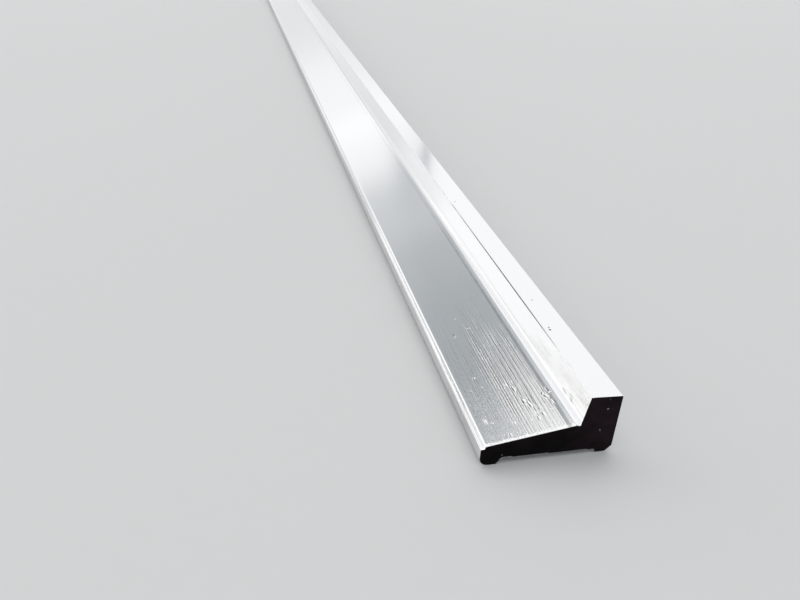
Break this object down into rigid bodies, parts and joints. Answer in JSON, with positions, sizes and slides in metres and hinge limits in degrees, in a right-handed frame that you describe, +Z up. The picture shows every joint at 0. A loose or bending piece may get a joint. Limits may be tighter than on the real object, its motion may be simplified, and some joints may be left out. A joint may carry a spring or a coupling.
{
  "type": "aluminium extrusion profile",
  "caption": "Straight aluminium edge profile: a sloping web with a small foot rises to a thick upright with a leaning inner flank; recessed underside, square-sawn ends.",
  "frame": {"origin": "middle of the underside: middle of the width and of the length, at the level it lies on", "axes": "+Y along the bar, +Z up, +X towards the thick upright"},
  "size_m": [0.02, 1, 0.01],
  "materials": {
    "aluminium": "satin anodised with fine lengthwise draw marks, bare at the sawn ends"
  },
  "bodies": {
    "root": {"profile": "aluminium"}
  },
  "joints": []
}
